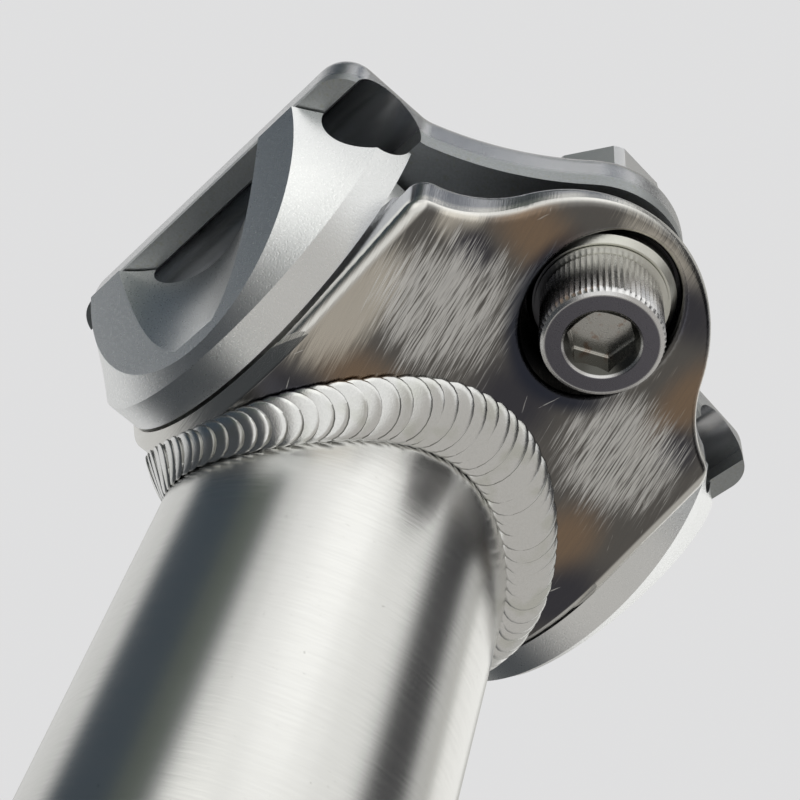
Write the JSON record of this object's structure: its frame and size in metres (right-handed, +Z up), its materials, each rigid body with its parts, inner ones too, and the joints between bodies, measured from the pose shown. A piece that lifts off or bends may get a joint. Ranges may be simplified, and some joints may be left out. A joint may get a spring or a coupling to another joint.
{
  "type": "bicycle seatpost",
  "caption": "Bicycle seatpost: round tube welded to a half-barrel head with a two-bolt saddle rail clamp that tilts on its cradle.",
  "frame": {"origin": "centre of the tube's lower end", "axes": "+Z up the tube to the head, +Y to the front of the bicycle, X along the head's barrel"},
  "size_m": [0.0556, 0.0622, 0.3687],
  "materials": {
    "tube_titanium": "satin, brushed along its length",
    "weld_titanium": "rippled weld, as laid",
    "head_titanium": "brushed by hand",
    "blasted_aluminium": "bead blasted",
    "brushed_aluminium": "brushed outside, blasted below",
    "bolt_steel": "stainless, knurled head",
    "washer_steel": "pale, turned"
  },
  "bodies": {
    "post": {"post_tube": "tube_titanium", "weld_bead": "weld_titanium", "head_shell": "head_titanium", "rear_seat_washer": "washer_steel"},
    "clamp": {"lower_cradle": "blasted_aluminium", "upper_clamp": "brushed_aluminium", "front_seat_washer": "washer_steel"},
    "rear_bolt_set": {"rear_bolt": "bolt_steel", "rear_ball_washer": "washer_steel"},
    "front_bolt_set": {"front_bolt": "bolt_steel", "front_ball_washer": "washer_steel"},
    "rear_nut_set": {"rear_nut": "bolt_steel"},
    "front_nut_set": {"front_nut": "bolt_steel"}
  },
  "joints": [
    {"name": "clamp_tilt", "type": "hinge", "parent": "post", "child": "clamp", "pos_m": [0, -0.003, 0.35255], "axis": [1, 0, 0], "range_deg": [-4, 4]},
    {"name": "rear_bolt_swivel", "type": "hinge", "parent": "post", "child": "rear_bolt_set", "pos_m": [0, -0.02932, 0.34055], "axis": [1, 0, 0], "range_deg": [-1.7, 1.7]},
    {"name": "rear_nut_swivel", "type": "hinge", "parent": "clamp", "child": "rear_nut_set", "pos_m": [0, -0.02376, 0.36788], "axis": [1, 0, 0], "range_deg": [-2.6, 2.6]},
    {"name": "front_bolt_swivel", "type": "hinge", "parent": "clamp", "child": "front_bolt_set", "pos_m": [0, 0.0224, 0.36004], "axis": [1, 0, 0], "range_deg": [-2, 2]},
    {"name": "front_nut_swivel", "type": "hinge", "parent": "post", "child": "front_nut_set", "pos_m": [0, 0.01776, 0.3372], "axis": [1, 0, 0], "range_deg": [-2.4, 2.4]}
  ],
  "couplings": [
    {"joint": "rear_bolt_swivel", "follows": "clamp_tilt", "ratio": 0.39033},
    {"joint": "rear_nut_swivel", "follows": "clamp_tilt", "ratio": -0.60967},
    {"joint": "front_bolt_swivel", "follows": "clamp_tilt", "ratio": -0.46777},
    {"joint": "front_nut_swivel", "follows": "clamp_tilt", "ratio": 0.53223}
  ]
}
